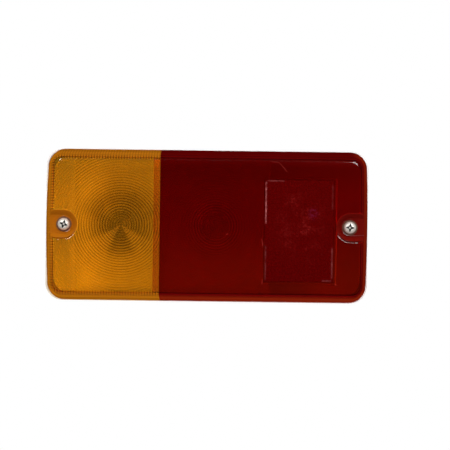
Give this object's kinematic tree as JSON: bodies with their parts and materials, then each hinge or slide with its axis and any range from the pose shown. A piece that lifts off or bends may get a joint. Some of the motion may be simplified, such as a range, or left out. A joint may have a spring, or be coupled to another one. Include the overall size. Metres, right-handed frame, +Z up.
{
  "type": "tail light cluster",
  "caption": "Horizontal rear combination lamp with an amber indicator lens, a red lens, a set-in reflex panel and two end screws.",
  "frame": {"origin": "midway between the two mounting studs, in the rear mounting face", "axes": "-Y out of the front of the lens, +Z up, +X towards the red end of the lamp"},
  "size_m": [0.2272, 0.0904, 0.1072],
  "materials": {
    "amber_acrylic": "clear amber, moulded gloss",
    "red_acrylic": "clear dark red, moulded gloss",
    "reflex_acrylic": "clear dark red with prisms behind",
    "housing_plastic": "light grey, satin",
    "gasket_rubber": "black, matte",
    "bright_coating": "vacuum-metallised",
    "socket_brass": "pressed",
    "insulator_board": "brown board",
    "bulb_glass": "clear",
    "screw_steel": "zinc-plated"
  },
  "bodies": {
    "root": {"amber_lens": "amber_acrylic", "red_lens": "red_acrylic", "reflex_reflector": "reflex_acrylic", "reflex_cover": "reflex_acrylic", "lamp_housing": "housing_plastic", "lens_gasket": "gasket_rubber", "rear_gasket": "gasket_rubber", "turn_reflector": "bright_coating", "stop_reflector": "bright_coating", "turn_socket_shell": "socket_brass", "stop_socket_shell": "socket_brass", "turn_socket_insulator": "insulator_board", "stop_socket_insulator": "insulator_board", "turn_contact_leaf": "socket_brass", "tail_contact_leaf": "socket_brass", "stop_contact_leaf": "socket_brass", "turn_bulb": "bulb_glass", "stop_bulb": "bulb_glass", "earth_strap": "socket_brass", "lens_screws": "screw_steel", "screw_seals": "gasket_rubber", "mounting_studs": "screw_steel"}
  },
  "joints": []
}
